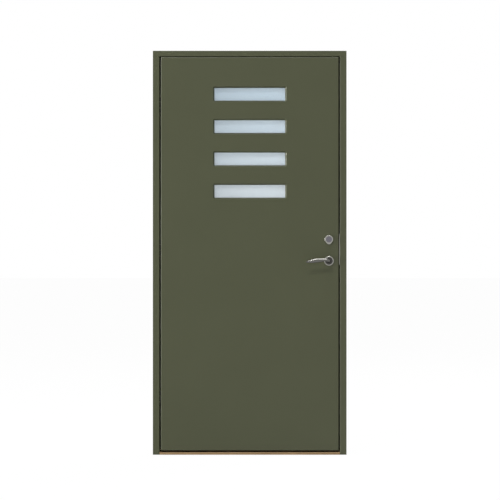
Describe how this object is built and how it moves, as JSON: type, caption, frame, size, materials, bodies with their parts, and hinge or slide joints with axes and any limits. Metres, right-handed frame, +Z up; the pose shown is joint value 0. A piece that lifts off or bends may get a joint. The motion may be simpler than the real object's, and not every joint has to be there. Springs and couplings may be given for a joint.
{
  "type": "front door",
  "caption": "Flush outward-opening front door in its frame, with a column of glazed slots, concealed hinges, lever handles and a lock.",
  "frame": {"origin": "middle of the threshold's front edge, on the underside, in the plane of the outer face", "axes": "+Z up, +Y from outside to inside, +X from the hinge side to the lock side, seen from outside"},
  "size_m": [0.99, 0.1812, 2.065],
  "materials": {
    "frame_paint": "satin grey green paint on pine",
    "leaf_paint": "satin grey green paint on a high density board",
    "oak": "oiled oak",
    "softwood": "bare planed pine",
    "insulation": "rigid foam",
    "seal_rubber": "soft black seal",
    "zinc": "zinc plated",
    "strike_steel": "satin stainless steel",
    "dust_box": "black moulded plastic",
    "hinge_casting": "cast zinc, silver lacquer",
    "hinge_steel": "plated steel",
    "glass": "clear float glass with a soft coating",
    "spacer": "mill finish",
    "lock_steel": "plated steel",
    "lever_steel": "polished stainless steel",
    "cylinder_nickel": "satin nickel"
  },
  "bodies": {
    "frame": {"hinge_jamb": "frame_paint", "lock_jamb": "frame_paint", "head": "frame_paint", "door_stops": "frame_paint", "threshold": "oak", "frame_seal": "seal_rubber", "corner_screws": "zinc", "fixing_sleeves": "zinc", "strike_plate": "strike_steel", "strike_boxes": "dust_box", "strike_screws": "zinc", "lower_frame_cup": "hinge_casting", "middle_frame_cup": "hinge_casting", "upper_frame_cup": "hinge_casting", "frame_hinge_pins": "hinge_steel", "frame_cup_screws": "zinc"},
    "far_arms": {"outer_hinge_arms": "hinge_steel"},
    "middle_arms": {"middle_hinge_arms": "hinge_steel"},
    "levers": {"outer_lever": "lever_steel", "inner_lever": "lever_steel", "spindle": "lock_steel", "follower": "lock_steel"},
    "latch": {"latch_bolt": "lock_steel"},
    "bolt": {"dead_bolt": "lock_steel"},
    "plug": {"cylinder_plug": "cylinder_nickel"},
    "turn": {"thumb_turn": "lever_steel"},
    "leaf": {"bottom_rail": "softwood", "core_panel": "insulation", "cylinder_body": "cylinder_nickel", "cylinder_collar": "lever_steel", "forend": "strike_steel", "forend_screws": "zinc", "glass_spacers": "spacer", "hinge_stile": "softwood", "inner_beads": "leaf_paint", "inner_panes": "glass", "inner_rose": "lever_steel", "inner_skin": "leaf_paint", "leaf_cup_screws": "zinc", "leaf_hinge_pins": "hinge_steel", "lock_block": "softwood", "lock_case": "lock_steel", "lock_stile": "softwood", "lower_leaf_cup": "hinge_casting", "middle_leaf_cup": "hinge_casting", "outer_bead_1": "leaf_paint", "outer_bead_2": "leaf_paint", "outer_bead_3": "leaf_paint", "outer_bead_4": "leaf_paint", "outer_pane_1": "glass", "outer_pane_2": "glass", "outer_pane_3": "glass", "outer_pane_4": "glass", "outer_rose": "lever_steel", "outer_skin": "leaf_paint", "through_bolts": "zinc", "top_rail": "softwood", "turn_rose": "lever_steel", "upper_leaf_cup": "hinge_casting", "window_liners": "softwood"}
  },
  "joints": [
    {"name": "far_arms_on_frame", "type": "hinge", "parent": "frame", "child": "far_arms", "pos_m": [-0.4845, 0.0115, 1], "axis": [0, 0, -1], "range_deg": [0, 41.68]},
    {"name": "door_swing", "type": "hinge", "parent": "far_arms", "child": "leaf", "pos_m": [-0.4395, 0.0145, 1], "axis": [0, 0, -1], "range_deg": [0, 57.5]},
    {"name": "middle_arms_on_frame", "type": "hinge", "parent": "frame", "child": "middle_arms", "pos_m": [-0.4755, 0.0145, 1], "axis": [0, 0, -1], "range_deg": [0, 57.5]},
    {"name": "lever_turn", "type": "hinge", "parent": "leaf", "child": "levers", "pos_m": [0.405, 0, 0.991], "axis": [0, -1, 0], "range_deg": [0, 40], "stiffness_Nm_per_rad": 1.5, "springref_deg": -28.65},
    {"name": "latch_slide", "type": "slide", "parent": "leaf", "child": "latch", "axis": [1, 0, 0], "range_m": [0, 0.012]},
    {"name": "bolt_slide", "type": "slide", "parent": "leaf", "child": "bolt", "axis": [1, 0, 0], "range_m": [0, 0.02]},
    {"name": "thumb_turn", "type": "hinge", "parent": "leaf", "child": "turn", "pos_m": [0.405, 0, 1.101], "axis": [0, 1, 0], "range_deg": [0, 90]},
    {"name": "plug_turn", "type": "hinge", "parent": "leaf", "child": "plug", "pos_m": [0.405, 0, 1.101], "axis": [0, -1, 0], "range_deg": [-90, 90]}
  ],
  "couplings": [
    {"joint": "door_swing", "follows": "far_arms_on_frame", "ratio": 1.3793},
    {"joint": "middle_arms_on_frame", "follows": "far_arms_on_frame", "ratio": 1.3793},
    {"joint": "thumb_turn", "follows": "bolt_slide", "rad_per_m": 78.5}
  ]
}
